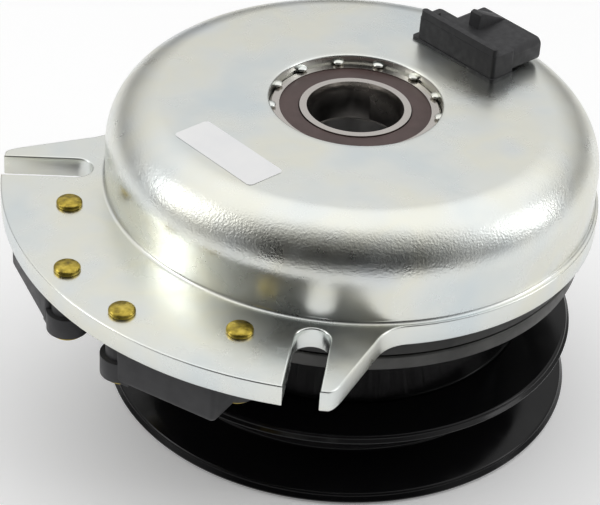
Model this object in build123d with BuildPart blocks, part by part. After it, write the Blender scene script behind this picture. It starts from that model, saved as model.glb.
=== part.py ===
"""Electromagnetic power take-off clutch with a permanent-magnet brake.

The frame is in millimetres. The Z axis is the crankshaft, +Z points at the engine, and the
origin is where the axis crosses the rotor's friction face. The flange lug points along -X.
"""
import os
from math import atan2, cos, degrees, hypot, radians, sin, tan

from build123d import *

os.makedirs("parts", exist_ok=True)

# Crankshaft and bearings
BORE_R = 14.3
KEY_WIDTH, KEY_TOP_R, KEY_ANGLE = 6.35, 17.2, -120.0
CLEARANCE = 0.2

# Field shell, drawn from thick sheet
SHEET = 6.8
SHELL_TOP = 41.2
SHELL_R = 75.0
SHELL_BEND = 16.2
FLANGE_TOP = 13.0
FLANGE_R = 106.5
FLANGE_TRIM_R = 76.5
FLANGE_BOTTOM = FLANGE_TOP - SHEET
SHELL_ROOF = SHELL_TOP - SHEET
SHELL_INNER_R = SHELL_R - SHEET
SHELL_EYE_R = 26.2
LUG_HALF_ANGLE = 45.4
SLOT_ANGLE, SLOT_WIDTH, SLOT_END_R = 40.5, 10.2, 84.0

LEAD_EYE, LEAD_EYE_R = (46.0, -4.0), 5.0
LEADS, LEAD_R = [(46.0, -6.2), (46.0, -1.8)], 0.8
STAKES, STAKE_START, STAKE_STEP = 8, -52.6, 28.0
DIMPLE, DIMPLE_R = (-61.6, -62.6, FLANGE_TOP + 4.6), 5.0

# Field bearing, seated in the shell's eye and the inner pole
FIELD_BRG_TOP = 38.5
FIELD_BRG_WIDTH = 13.0
FIELD_BRG_R = 26.0
FIELD_BRG_BOTTOM = FIELD_BRG_TOP - FIELD_BRG_WIDTH
INNER_POLE_R = 32.8
INNER_POLE_BOTTOM = 7.5

# Coil and its bobbin
COIL_BOTTOM, COIL_TOP, COIL_IN_R = 18.0, 31.5, 36.5
BOBBIN_IN_R, BOBBIN_R, WINDING_R, BOBBIN_WALL = 35.0, 60.0, 58.5, 1.5
POTTING_BOTTOM = 15.4

# Connector, a block with a raised lip and a socket whose mouth faces outwards
BLOCK_IN, BLOCK_OUT, SOCKET_END = 40.3, 49.8, 61.6
BLOCK_TOP, LIP_TOP = SHELL_TOP + 8.2, SHELL_TOP + 10.6
SOCKET_Y = (-17.2, 9.2)
SOCKET_MID, SOCKET_WIDE = sum(SOCKET_Y) / 2, SOCKET_Y[1] - SOCKET_Y[0]
SOCKET_CENTRE_Z = SHELL_TOP + 4.3
SOCKET_FLOOR = SHELL_TOP + 2.6
BLADE_Y, BLADE_HIGH, BLADE_THICK = (-10.0, 1.8), 3.4, 0.8

# Rotor
ROTOR_R = 73.0
ROTOR_THICK = 5.5
ROTOR_RIM_TOP = 14.0
HUB_BOTTOM, HUB_TOP = -52.0, FIELD_BRG_BOTTOM
HUB_R, HUB_SEAT_R = 22.5, 20.0
SNAP_Z, SNAP_THICK, SNAP_IN_R, SNAP_OUT_R = -49.7, 1.6, 18.8, 21.6
LINING_IN, LINING_OUT, LINING_DEEP = 51.5, 59.5, 2.6

# Armature, at rest on the brake poles
ARMATURE_TOP, ARMATURE_THICK = -0.45, 4.7
ARMATURE_BOTTOM = ARMATURE_TOP - ARMATURE_THICK
ARMATURE_BORE_R = 34.0
SPRING_RIVET_R = 44.0
SPRING_STARTS, SPRING_SWEEP = [20.0, 140.0, 260.0], 48.0
SPRING_THICK, SPRING_HALF_WIDTH = 0.8, 5.5

# Pulley, a drum and two flanges of one sheet thickness
GROOVE_SLOPE = tan(radians(17.0))
PULLEY_SHEET = 3.5
PULLEY_SLANT = PULLEY_SHEET / cos(radians(17.0))
UPPER_RIM_R, UPPER_RIM_TOP = 73.0, -29.0
LOWER_RIM_R, LOWER_RIM_TOP = 73.6, -51.6
DRUM_R, DRUM_TOP = 52.5, -8.5
DRUM_ROOF = DRUM_TOP - PULLEY_SHEET
DRUM_SEAM = -26.0
ROOT_R = 58.5
DRUM_EYE_R, RIVET_WINDOW_R = 33.0, 7.0
SPRING_TOP = DRUM_TOP + SPRING_THICK
WEB_BOTTOM, WEB_HOLES_R = -45.5, 45.0
PULLEY_BRG_TOP, PULLEY_BRG_WIDTH, PULLEY_BRG_R = -36.0, 12.0, 31.0
CARRIER_R, CARRIER_SHEET, CARRIER_STOP_R = 34.5, 3.5, 29.0
CARRIER_BOTTOM = -51.0
RING_Z, RING_THICK, RING_IN_R, RING_OUT_R = -49.4, 1.3, 29.2, 32.2

# Brake shoes under the flange lug
SHOE_ANGLE = 17.5
OUTER_RIVET = (98.7, 7.45)
INNER_RIVET = (86.9, 27.0)
SHIM = 0.8
SHOE_TOP = FLANGE_BOTTOM - SHIM
SHOE_BOTTOM = -7.5
SHOE_FACE = 103.0
SHOE_HALF_WIDTH, SHOE_SHIFT = 16.6, 1.1
EAR_R, EAR_NECK_R, EAR_TOP = 6.2, 4.6, -1.0
BRAKE_FACE = ARMATURE_BOTTOM - 0.05
RIVET_R = 2.5
MAGNET, MAGNET_AT = (16.0, 16.0, 8.4), (89.0, -2.0)
SHOE_IN = 75.4


def save(piece, name):
    """Label a finished piece and write it to its own STEP file."""
    piece.part.label = name
    export_step(piece.part, f"parts/{name}.step")


def polar(radius, angle):
    """A point on a circle about the crankshaft axis."""
    return (radius * cos(radians(angle)), radius * sin(radians(angle)))


def spun(points, edges=()):
    """Turn a closed (radius, height) outline about Z; edges lists (radius, height, fillet)."""
    with BuildPart() as ring:
        with BuildSketch(Plane.XZ) as section:
            with BuildLine():
                Polyline(*points, close=True)
            make_face()
            for radius, height, size in edges:
                corner = section.vertices().sort_by_distance((radius, height))[0]
                fillet(corner, size)
        revolve(axis=Axis.Z)
    return ring


def tube(inner, outer, bottom, top, edges=()):
    """A plain ring, with the listed edges of its section rounded."""
    return spun([(inner, bottom), (outer, bottom), (outer, top), (inner, top)], edges)


def arc_slots(count, inner, outer, sweep, start=0.0):
    """Sketch curved slots on a circle, in the current sketch."""
    middle, width = (inner + outer) / 2, outer - inner
    for index in range(count):
        angle = start + index * 360 / count
        with BuildLine(mode=Mode.PRIVATE) as path:
            CenterArc((0, 0), middle, angle - sweep / 2, sweep)
        SlotArc(path.edge(), width)


# ---------------------------------------------------------------- field, the part that stays still


def field_shell():
    """Drawn steel cup, flanged, with a staked eye for the bearing."""
    flat_r = SHELL_R - SHELL_BEND
    ear_x, ear_y = polar(FLANGE_R, 180 - LUG_HALF_ANGLE)
    with BuildPart() as shell:
        # flange: a rim trimmed close to the wall, and a wide lug with slanted sides
        with BuildSketch(Plane.XY.offset(FLANGE_BOTTOM)) as flange:
            with BuildLine():
                ThreePointArc((ear_x, ear_y), (-FLANGE_R, 0), (ear_x, -ear_y))
                Polyline((ear_x, -ear_y), (-36, -60.5), (0, -40), (0, 40), (-36, 60.5), (ear_x, ear_y))
            make_face()
            ears = flange.vertices().filter_by(lambda v: abs(v.X - ear_x) < 0.01)
            fillet(ears, 5.0)
            Circle(FLANGE_TRIM_R)
            roots = flange.vertices().filter_by(lambda v: abs(hypot(v.X, v.Y) - FLANGE_TRIM_R) < 0.01)
            fillet(roots.filter_by(lambda v: v.X < -30), 8.0)
            Circle(SHELL_INNER_R, mode=Mode.SUBTRACT)
        extrude(amount=SHEET)
        fillet(shell.edges().group_by(Axis.Z)[-1].filter_by(lambda e: e.length > 30), 0.6)
        with BuildSketch(Plane.XZ) as section:
            with BuildLine():
                Line((SHELL_EYE_R, SHELL_TOP), (flat_r, SHELL_TOP))
                RadiusArc((flat_r, SHELL_TOP), (SHELL_R, SHELL_TOP - SHELL_BEND), SHELL_BEND)
                Line((SHELL_R, SHELL_TOP - SHELL_BEND), (SHELL_R, FLANGE_BOTTOM))
                Line((SHELL_R, FLANGE_BOTTOM), (SHELL_INNER_R, FLANGE_BOTTOM))
                Line((SHELL_INNER_R, FLANGE_BOTTOM), (SHELL_INNER_R, SHELL_TOP - SHELL_BEND))
                RadiusArc((SHELL_INNER_R, SHELL_TOP - SHELL_BEND), (flat_r, SHELL_ROOF), SHEET - SHELL_BEND)
                Line((flat_r, SHELL_ROOF), (SHELL_EYE_R, SHELL_ROOF))
                Line((SHELL_EYE_R, SHELL_ROOF), (SHELL_EYE_R, SHELL_TOP))
            make_face()
            eye = section.vertices().sort_by_distance((SHELL_EYE_R, SHELL_TOP))[0]
            fillet(eye, 0.6)
        revolve(axis=Axis.Z)
        with BuildSketch(Plane.XZ) as foot:
            with BuildLine():
                Line((SHELL_R - 0.5, FLANGE_TOP), (SHELL_R + 1.2, FLANGE_TOP))
                RadiusArc((SHELL_R + 1.2, FLANGE_TOP), (SHELL_R, FLANGE_TOP + 1.2), -1.2)
                Line((SHELL_R, FLANGE_TOP + 1.2), (SHELL_R - 0.5, FLANGE_TOP + 1.2))
                Line((SHELL_R - 0.5, FLANGE_TOP + 1.2), (SHELL_R - 0.5, FLANGE_TOP))
            make_face()
        revolve(axis=Axis.Z)
        # anti-rotation slots, open at the flange's edge
        for side in (-1, 1):
            angle = 180 + side * SLOT_ANGLE
            with BuildSketch(Plane.XY.offset(FLANGE_BOTTOM)):
                with Locations(Location((0, 0, 0), (0, 0, angle))):
                    with Locations((SLOT_END_R, 0)):
                        Circle(SLOT_WIDTH / 2)
                    with Locations((SLOT_END_R + 20, 0)):
                        Rectangle(40, SLOT_WIDTH)
            extrude(amount=SHEET, mode=Mode.SUBTRACT)
        # rivet holes, lead hole and a gauging dimple beside one slot
        rivets = [polar(r, 180 + side * a) for r, a in (OUTER_RIVET, INNER_RIVET) for side in (-1, 1)]
        with BuildSketch(Plane.XY.offset(FLANGE_BOTTOM)):
            with Locations(*rivets):
                Circle(RIVET_R)
        extrude(amount=SHEET, mode=Mode.SUBTRACT)
        with BuildSketch(Plane.XY.offset(SHELL_ROOF)):
            with Locations(LEAD_EYE):
                Circle(LEAD_EYE_R)
        extrude(amount=SHEET, mode=Mode.SUBTRACT)
        with Locations(DIMPLE):
            Sphere(DIMPLE_R, mode=Mode.SUBTRACT)
        # stake marks: a punched pocket, with its metal pushed in over the bearing
        for index in range(STAKES):
            x, y = polar(1.0, STAKE_START + index * STAKE_STEP)
            with Locations((26.3 * x, 26.3 * y, FIELD_BRG_TOP)):
                Cylinder(1.7, 1.9, align=(Align.CENTER, Align.CENTER, Align.MIN))
            with Locations((26.6 * x, 26.6 * y, SHELL_TOP)):
                Sphere(1.9, mode=Mode.SUBTRACT)
    return shell


save(field_shell(), "field_shell")

save(spun([(FIELD_BRG_R, SHELL_ROOF), (FIELD_BRG_R, FIELD_BRG_BOTTOM), (24.5, FIELD_BRG_BOTTOM),
           (24.5, INNER_POLE_BOTTOM), (INNER_POLE_R, INNER_POLE_BOTTOM), (INNER_POLE_R, SHELL_ROOF)],
          [(INNER_POLE_R, INNER_POLE_BOTTOM, 0.5)]), "inner_pole")

# Coil: copper winding on a moulded bobbin, potted into the shell
with BuildPart() as winding:
    with BuildSketch(Plane.XZ):
        with Locations(((COIL_IN_R + WINDING_R) / 2, (COIL_BOTTOM + COIL_TOP) / 2)):
            Rectangle(WINDING_R - COIL_IN_R, COIL_TOP - COIL_BOTTOM)
    revolve(axis=Axis.Z)
save(winding, "coil_winding")

with BuildPart() as bobbin:
    with BuildSketch(Plane.XZ):
        with BuildLine():
            Polyline((BOBBIN_IN_R, COIL_BOTTOM - BOBBIN_WALL), (BOBBIN_R, COIL_BOTTOM - BOBBIN_WALL),
                     (BOBBIN_R, COIL_BOTTOM), (COIL_IN_R, COIL_BOTTOM), (COIL_IN_R, COIL_TOP),
                     (BOBBIN_R, COIL_TOP), (BOBBIN_R, COIL_TOP + BOBBIN_WALL),
                     (BOBBIN_IN_R, COIL_TOP + BOBBIN_WALL), close=True)
        make_face()
    revolve(axis=Axis.Z)
    with BuildSketch(Plane.XY.offset(COIL_TOP)):
        with Locations(*LEADS):
            Circle(LEAD_R)
    extrude(amount=BOBBIN_WALL, mode=Mode.SUBTRACT)
save(bobbin, "coil_bobbin")

with BuildPart() as potting:
    with BuildSketch(Plane.XZ):
        with BuildLine():
            Polyline((INNER_POLE_R, POTTING_BOTTOM), (SHELL_INNER_R, POTTING_BOTTOM),
                     (SHELL_INNER_R, SHELL_TOP - SHELL_BEND))
            bend_end = (SHELL_R - SHELL_BEND, SHELL_ROOF)
            RadiusArc((SHELL_INNER_R, SHELL_TOP - SHELL_BEND), bend_end, SHEET - SHELL_BEND)
            Polyline(bend_end, (INNER_POLE_R, SHELL_ROOF), (INNER_POLE_R, POTTING_BOTTOM))
        make_face()
        with BuildLine():
            Polyline((BOBBIN_IN_R, COIL_BOTTOM - BOBBIN_WALL), (BOBBIN_R, COIL_BOTTOM - BOBBIN_WALL),
                     (BOBBIN_R, COIL_BOTTOM), (WINDING_R, COIL_BOTTOM), (WINDING_R, COIL_TOP),
                     (BOBBIN_R, COIL_TOP), (BOBBIN_R, COIL_TOP + BOBBIN_WALL),
                     (BOBBIN_IN_R, COIL_TOP + BOBBIN_WALL), close=True)
        make_face(mode=Mode.SUBTRACT)
    revolve(axis=Axis.Z)
    with BuildSketch(Plane.XY.offset(COIL_TOP + BOBBIN_WALL)):
        with Locations(*LEADS):
            Circle(LEAD_R)
    extrude(amount=SHELL_ROOF - COIL_TOP - BOBBIN_WALL, mode=Mode.SUBTRACT)
save(potting, "coil_potting")

# Connector: moulded socket on the shell's roof, its mouth facing outwards
with BuildPart() as connector:
    with BuildSketch(Plane.XY.offset(SHELL_ROOF)):
        with Locations(LEAD_EYE):
            Circle(LEAD_EYE_R)
    extrude(amount=SHEET)
    # base flange, block and the raised lip along the block's inner edge
    with BuildSketch(Plane.XY.offset(SHELL_TOP)):
        with Locations(((BLOCK_IN + BLOCK_OUT) / 2 - 0.3, -0.3)):
            RectangleRounded(BLOCK_OUT - BLOCK_IN + 0.4, 35.2, 1.0)
    extrude(amount=1.0)
    with BuildSketch(Plane.XY.offset(SHELL_TOP)):
        with Locations(((BLOCK_IN + BLOCK_OUT) / 2, -1.0)):
            RectangleRounded(BLOCK_OUT - BLOCK_IN, 33.2, 1.3)
    extrude(amount=BLOCK_TOP - SHELL_TOP, taper=1.0)
    with BuildSketch(Plane.XY.offset(BLOCK_TOP - 1.0)):
        with Locations((BLOCK_IN + 1.45, -1.0)):
            RectangleRounded(2.5, 32.6, 1.1)
    extrude(amount=LIP_TOP - BLOCK_TOP + 1.0, taper=3)
    with BuildSketch(Plane.XY.offset(BLOCK_TOP - 0.5)):
        with Locations((BLOCK_IN + 4.4, 12.6)):
            RectangleRounded(3.4, 2.8, 1.0)
    extrude(amount=1.8, taper=8)
    # socket, open at the outer end
    with BuildSketch(Plane.YZ.offset(BLOCK_OUT - 1.0)):
        with Locations((SOCKET_MID, SOCKET_CENTRE_Z)):
            RectangleRounded(SOCKET_WIDE, 7.8, 2.2)
    extrude(amount=SOCKET_END - BLOCK_OUT + 1.0)
    with BuildSketch(Plane.YZ.offset(BLOCK_OUT + 2.0)):
        with Locations((SOCKET_MID, SOCKET_CENTRE_Z)):
            RectangleRounded(SOCKET_WIDE - 3.4, 4.8, 0.8)
    extrude(amount=SOCKET_END - BLOCK_OUT - 2.0, mode=Mode.SUBTRACT)
    # latch ramp on the roof of the socket
    with BuildSketch(Plane.XZ.offset(1.6)):
        with BuildLine():
            Polyline((BLOCK_OUT - 0.4, BLOCK_TOP - 0.2), (BLOCK_OUT, LIP_TOP + 2.2), (51.0, LIP_TOP + 2.6),
                     (61.2, BLOCK_TOP + 0.1), (61.2, BLOCK_TOP - 0.2), close=True)
        make_face()
    extrude(amount=-4.2)
    # channels for the leads and the blades
    with BuildSketch(Plane.XY.offset(SHELL_ROOF)):
        with Locations(*LEADS):
            Circle(LEAD_R)
    extrude(amount=SOCKET_FLOOR - SHELL_ROOF, mode=Mode.SUBTRACT)
    for blade_y, (lead_x, lead_y) in zip(BLADE_Y, LEADS):
        with BuildSketch(Plane.XY.offset(SOCKET_FLOOR)):
            with Locations((lead_x, (blade_y + lead_y) / 2)):
                Rectangle(2 * LEAD_R, abs(blade_y - lead_y) + 2 * LEAD_R)
        extrude(amount=BLADE_THICK, mode=Mode.SUBTRACT)
        with BuildSketch(Plane.XY.offset(SOCKET_FLOOR)):
            with Locations(((lead_x + BLOCK_OUT + 2.0) / 2 - LEAD_R / 2, blade_y)):
                Rectangle(BLOCK_OUT + 2.0 - lead_x + LEAD_R, BLADE_THICK)
        extrude(amount=BLADE_HIGH, mode=Mode.SUBTRACT)
save(connector, "connector_housing")

with BuildPart() as terminals:
    for blade_y, (lead_x, lead_y) in zip(BLADE_Y, LEADS):
        with BuildSketch(Plane.XY.offset(SOCKET_FLOOR)):
            with Locations((lead_x, (blade_y + lead_y) / 2)):
                Rectangle(2 * LEAD_R, abs(blade_y - lead_y) + 2 * LEAD_R)
        extrude(amount=BLADE_THICK)
        with BuildSketch(Plane.XZ.offset(-blade_y - BLADE_THICK / 2)):
            with BuildLine():
                tip, top = SOCKET_END - 1.2, SOCKET_FLOOR + BLADE_HIGH
                Polyline((lead_x - LEAD_R, SOCKET_FLOOR), (tip - 0.8, SOCKET_FLOOR),
                         (tip, SOCKET_FLOOR + 0.8), (tip, top - 0.8), (tip - 0.8, top),
                         (lead_x - LEAD_R, top), close=True)
            make_face()
        extrude(amount=BLADE_THICK)
save(terminals, "connector_terminals")

with BuildPart() as leads:
    with BuildSketch(Plane.XY.offset(COIL_TOP)):
        with Locations(*LEADS):
            Circle(LEAD_R)
    extrude(amount=SOCKET_FLOOR - COIL_TOP)
save(leads, "coil_leads")

with BuildPart() as label:
    with BuildSketch(Plane.XY.offset(SHELL_TOP)):
        with Locations((-50.4, -0.4)):
            RectangleRounded(12.8, 34.2, 1.6)
    extrude(amount=0.15)
save(label, "blank_label")


# ---------------------------------------------------------------- bearings


def bearing(name, inner_r, outer_r, bottom, width, lands, ball_r, balls, bore_taper=0.3):
    """Deep-groove ball bearing: two races, two rubber seals, a crown cage and its balls."""
    inner_land, outer_land = lands
    pitch, middle, top = (inner_land + outer_land) / 2, bottom + width / 2, bottom + width
    groove_r = ball_r + CLEARANCE

    with BuildPart() as outer:
        with BuildSketch(Plane.XZ) as section:
            with Locations(((outer_land + outer_r) / 2, middle)):
                Rectangle(outer_r - outer_land, width)
            rim = section.vertices().filter_by(lambda v: abs(v.X - outer_r) < 0.01)
            chamfer(rim, 0.7)
            with Locations((pitch, middle)):
                Circle(groove_r, mode=Mode.SUBTRACT)
        revolve(axis=Axis.Z)
    save(outer, f"{name}_outer_race")

    with BuildPart() as inner:
        with BuildSketch(Plane.XZ):
            with BuildLine():
                Polyline((inner_r, bottom + 0.6), (inner_r + 0.4, bottom), (inner_land, bottom),
                         (inner_land, top), (inner_r + 0.45, top), (inner_r, top - bore_taper), close=True)
            make_face()
            with Locations((pitch, middle)):
                Circle(groove_r, mode=Mode.SUBTRACT)
        revolve(axis=Axis.Z)
    save(inner, f"{name}_inner_race")

    for side, height in (("upper", top - 1.3), ("lower", bottom + 0.3)):
        seal = tube(inner_land + 0.25, outer_land, height, height + 1.0)
        save(seal, f"{name}_seal_{side}")

    with BuildPart() as cage:
        with BuildSketch(Plane.XY.offset(middle - 1.0)):
            Circle(pitch + 1.0)
            Circle(pitch - 1.0, mode=Mode.SUBTRACT)
        extrude(amount=ball_r + 1.9)
        with Locations((0, 0, middle)):
            with PolarLocations(pitch, balls):
                Sphere(ball_r + CLEARANCE, mode=Mode.SUBTRACT)
    save(cage, f"{name}_cage")

    with BuildPart() as ball_set:
        with Locations((0, 0, middle)):
            with PolarLocations(pitch, balls):
                Sphere(ball_r)
    save(ball_set, f"{name}_balls")


bearing("field_bearing", BORE_R, FIELD_BRG_R, FIELD_BRG_BOTTOM, FIELD_BRG_WIDTH,
        lands=(16.9, 23.0), ball_r=3.75, balls=10, bore_taper=1.8)
bearing("pulley_bearing", HUB_SEAT_R, PULLEY_BRG_R, PULLEY_BRG_TOP - PULLEY_BRG_WIDTH, PULLEY_BRG_WIDTH,
        lands=(23.4, 27.4), ball_r=2.9, balls=14)


# ---------------------------------------------------------------- brake: magnets and pole shoes


def shoe_ears(side, radius):
    """Sketch the rounded ears round a shoe's two rivets, each joined to the block."""
    with Locations(Location((0, 0, 0), (0, 0, 180 + side * SHOE_ANGLE))):
        for rivet_r, angle in (OUTER_RIVET, INNER_RIVET):
            x, y = polar(rivet_r, side * (angle - SHOE_ANGLE))
            inward = -1 if y > 0 else 1
            with Locations((x, y)):
                Circle(radius)
            with Locations((x - 0.4, y + inward * 3)):
                Rectangle(2 * radius - 0.8, 6)


def shoe_block(side):
    """Sketch a shoe's plan without its ears."""
    with Locations(Location((0, 0, 0), (0, 0, 180 + side * SHOE_ANGLE))):
        with Locations(((SHOE_FACE + SHOE_IN) / 2, side * SHOE_SHIFT)):
            RectangleRounded(SHOE_FACE - SHOE_IN, 2 * SHOE_HALF_WIDTH, 1.6)


def shoe_holes(side):
    """Sketch the two rivet holes of a shoe."""
    with Locations(*[polar(radius, 180 + side * angle) for radius, angle in (OUTER_RIVET, INNER_RIVET)]):
        Circle(RIVET_R)


for tag, side in (("a", -1), ("b", 1)):
    turned = Location((0, 0, 0), (0, 0, 180 + side * SHOE_ANGLE))
    with BuildPart() as shoe:
        with BuildSketch(Plane.XY.offset(SHOE_BOTTOM)):
            shoe_block(side)
        extrude(amount=SHOE_TOP - SHOE_BOTTOM)
        fillet(shoe.edges().group_by(Axis.Z)[0], 2.2)
        # each ear is a round foot with a narrower neck up to the shim
        with BuildSketch(Plane.XY.offset(SHOE_BOTTOM)):
            shoe_ears(side, EAR_R)
        extrude(amount=EAR_TOP - SHOE_BOTTOM)
        with BuildSketch(Plane.XY.offset(EAR_TOP)):
            shoe_ears(side, EAR_NECK_R)
        extrude(amount=SHOE_TOP - EAR_TOP)
        # tongue reaching in under the armature's rim
        with BuildSketch(Plane.XY.offset(SHOE_BOTTOM - 4.0)):
            with Locations(turned):
                with Locations((70.2, 0)):
                    RectangleRounded(18.6, 2 * SHOE_HALF_WIDTH - 2, 2.0)
        extrude(amount=BRAKE_FACE - SHOE_BOTTOM + 4.0)
        with BuildSketch(Plane.XY.offset(SHOE_TOP - MAGNET[2])):
            with Locations(turned):
                with Locations((MAGNET_AT[0], side * MAGNET_AT[1])):
                    Rectangle(MAGNET[0], MAGNET[1])
        extrude(amount=MAGNET[2], mode=Mode.SUBTRACT)
        with BuildSketch(Plane.XY.offset(SHOE_BOTTOM)):
            shoe_holes(side)
        extrude(amount=SHOE_TOP - SHOE_BOTTOM, mode=Mode.SUBTRACT)
    save(shoe, f"brake_shoe_{tag}")

    with BuildPart() as magnet:
        with BuildSketch(Plane.XY.offset(SHOE_TOP - MAGNET[2])):
            with Locations(turned):
                with Locations((MAGNET_AT[0], side * MAGNET_AT[1])):
                    Rectangle(MAGNET[0], MAGNET[1])
        extrude(amount=MAGNET[2])
        chamfer(magnet.edges().filter_by(Axis.Z), 0.8)
    save(magnet, f"brake_magnet_{tag}")

    with BuildPart() as shim:
        with BuildSketch(Plane.XY.offset(SHOE_TOP)):
            shoe_block(side)
            shoe_ears(side, EAR_NECK_R)
        extrude(amount=SHIM)
        with BuildSketch(Plane.XY.offset(SHOE_TOP)):
            shoe_holes(side)
        extrude(amount=SHIM, mode=Mode.SUBTRACT)
    save(shim, f"brake_shim_{tag}")

with BuildPart() as brake_rivets:
    for radius, angle in (OUTER_RIVET, INNER_RIVET):
        for side in (-1, 1):
            x, y = polar(radius, 180 + side * angle)
            with BuildSketch(Plane(origin=(x, y, 0), x_dir=(1, 0, 0), z_dir=(0, -1, 0))) as section:
                with BuildLine():
                    Polyline((0, FLANGE_TOP + 1.7), (3.3, FLANGE_TOP + 1.5), (3.9, FLANGE_TOP + 1.0),
                             (3.9, FLANGE_TOP), (RIVET_R, FLANGE_TOP), (RIVET_R, SHOE_BOTTOM),
                             (5.0, SHOE_BOTTOM), (5.0, SHOE_BOTTOM - 1.2), (4.3, SHOE_BOTTOM - 1.8),
                             (0, SHOE_BOTTOM - 1.9), close=True)
                make_face()
            revolve(axis=Axis((x, y, 0), (0, 0, 1)))
save(brake_rivets, "brake_rivets")


# ---------------------------------------------------------------- rotor, keyed to the crankshaft

with BuildPart() as hub:
    with BuildSketch(Plane.XZ) as section:
        with BuildLine():
            Polyline((BORE_R + 0.6, HUB_BOTTOM), (HUB_SEAT_R - 0.8, HUB_BOTTOM),
                     (HUB_SEAT_R, HUB_BOTTOM + 0.8), (HUB_SEAT_R, SNAP_Z), (SNAP_IN_R, SNAP_Z),
                     (SNAP_IN_R, SNAP_Z + SNAP_THICK), (HUB_SEAT_R, SNAP_Z + SNAP_THICK),
                     (HUB_SEAT_R, PULLEY_BRG_TOP),
                     (HUB_R, PULLEY_BRG_TOP), (HUB_R, ROTOR_THICK), (24.0, ROTOR_THICK), (24.0, 8.5),
                     (20.0, 11.0), (20.0, HUB_TOP - 1.0), (16.6, HUB_TOP - 1.0), (16.6, HUB_TOP),
                     (BORE_R, HUB_TOP), (BORE_R, HUB_BOTTOM + 0.6), close=True)
        make_face()
    revolve(axis=Axis.Z)
    with BuildSketch(Plane.XY.offset(HUB_BOTTOM)):
        with Locations(Location((0, 0, 0), (0, 0, KEY_ANGLE))):
            with Locations((KEY_TOP_R / 2, 0)):
                Rectangle(KEY_TOP_R, KEY_WIDTH)
            with Locations((0, 0)):
                Circle(BORE_R - 0.01, mode=Mode.SUBTRACT)
    extrude(amount=HUB_TOP - HUB_BOTTOM, mode=Mode.SUBTRACT)
save(hub, "rotor_hub")

with BuildPart() as rotor:
    with BuildSketch(Plane.XZ):
        with BuildLine():
            Polyline((HUB_R, 0), (LINING_IN, 0), (LINING_IN, LINING_DEEP), (LINING_OUT, LINING_DEEP),
                     (LINING_OUT, 0), (ROTOR_R - 0.4, 0), (ROTOR_R, 0.4), (ROTOR_R, ROTOR_THICK - 0.4),
                     (ROTOR_R - 0.4, ROTOR_THICK), (67.3, ROTOR_THICK), (67.3, ROTOR_RIM_TOP),
                     (62.3, ROTOR_RIM_TOP), (62.3, ROTOR_THICK), (38.0, ROTOR_THICK), (38.0, ROTOR_RIM_TOP),
                     (33.8, ROTOR_RIM_TOP), (33.8, ROTOR_THICK), (HUB_R, ROTOR_THICK), close=True)
        make_face()
    revolve(axis=Axis.Z)
    with BuildSketch(Plane.XY):
        arc_slots(6, 53.5, 57.5, 46)
    extrude(amount=ROTOR_THICK, mode=Mode.SUBTRACT)
save(rotor, "rotor_plate")

save(tube(LINING_IN, LINING_OUT, 0, LINING_DEEP), "friction_lining")


def split_ring(inner, outer, bottom, thick, gap, ear):
    """A retaining ring: a thin ring with a gap and a plier hole beside each end."""
    with BuildPart() as ring:
        with BuildSketch(Plane.XY.offset(bottom)):
            Circle(outer)
            Circle(inner, mode=Mode.SUBTRACT)
            with Locations(((inner + outer) / 2, 0)):
                Rectangle(3 * (outer - inner), gap, mode=Mode.SUBTRACT)
            with Locations(*[polar((inner + outer) / 2 + ear, side * 12) for side in (-1, 1)]):
                Circle(1.9)
                Circle(0.8, mode=Mode.SUBTRACT)
        extrude(amount=thick)
    return ring


save(split_ring(SNAP_IN_R, SNAP_OUT_R, SNAP_Z, SNAP_THICK, 4.0, 0.6), "hub_snap_ring")

# ---------------------------------------------------------------- armature and its leaf springs

ARMATURE_RIVETS = [polar(SPRING_RIVET_R, start + SPRING_SWEEP) for start in SPRING_STARTS]
PULLEY_RIVETS = [polar(SPRING_RIVET_R, start) for start in SPRING_STARTS]

with BuildPart() as armature:
    with BuildSketch(Plane.XZ):
        with BuildLine():
            Polyline((ARMATURE_BORE_R, ARMATURE_BOTTOM), (ROTOR_R - 0.4, ARMATURE_BOTTOM),
                     (ROTOR_R, ARMATURE_BOTTOM + 0.4), (ROTOR_R, ARMATURE_TOP - 0.4),
                     (ROTOR_R - 0.4, ARMATURE_TOP), (ARMATURE_BORE_R, ARMATURE_TOP), close=True)
        make_face()
    revolve(axis=Axis.Z)
    with BuildSketch(Plane.XY.offset(ARMATURE_BOTTOM)):
        arc_slots(6, 61.5, 64.5, 40, 30)
        arc_slots(6, 49.5, 52.0, 40)
    extrude(amount=ARMATURE_THICK, mode=Mode.SUBTRACT)
    with Locations(*[(x, y, ARMATURE_TOP) for x, y in ARMATURE_RIVETS]):
        CounterSinkHole(RIVET_R, 4.6, counter_sink_angle=90)
save(armature, "armature_plate")

with BuildPart() as armature_rivets:
    for x, y in ARMATURE_RIVETS:
        with BuildSketch(Plane(origin=(x, y, 0), x_dir=(1, 0, 0), z_dir=(0, -1, 0))):
            with BuildLine():
                Polyline((0, ARMATURE_TOP - 0.2), (4.4, ARMATURE_TOP - 0.2), (RIVET_R, ARMATURE_TOP - 2.1),
                         (RIVET_R, ARMATURE_BOTTOM), (4.5, ARMATURE_BOTTOM), (4.5, SPRING_TOP + 0.05),
                         (2.2, SPRING_TOP + 0.05), (2.2, DRUM_TOP - 0.05), (4.5, DRUM_TOP - 0.05),
                         (4.0, DRUM_TOP - 1.6), (0, DRUM_TOP - 1.8), close=True)
            make_face()
        revolve(axis=Axis((x, y, 0), (0, 0, 1)))
save(armature_rivets, "armature_rivets")

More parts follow.
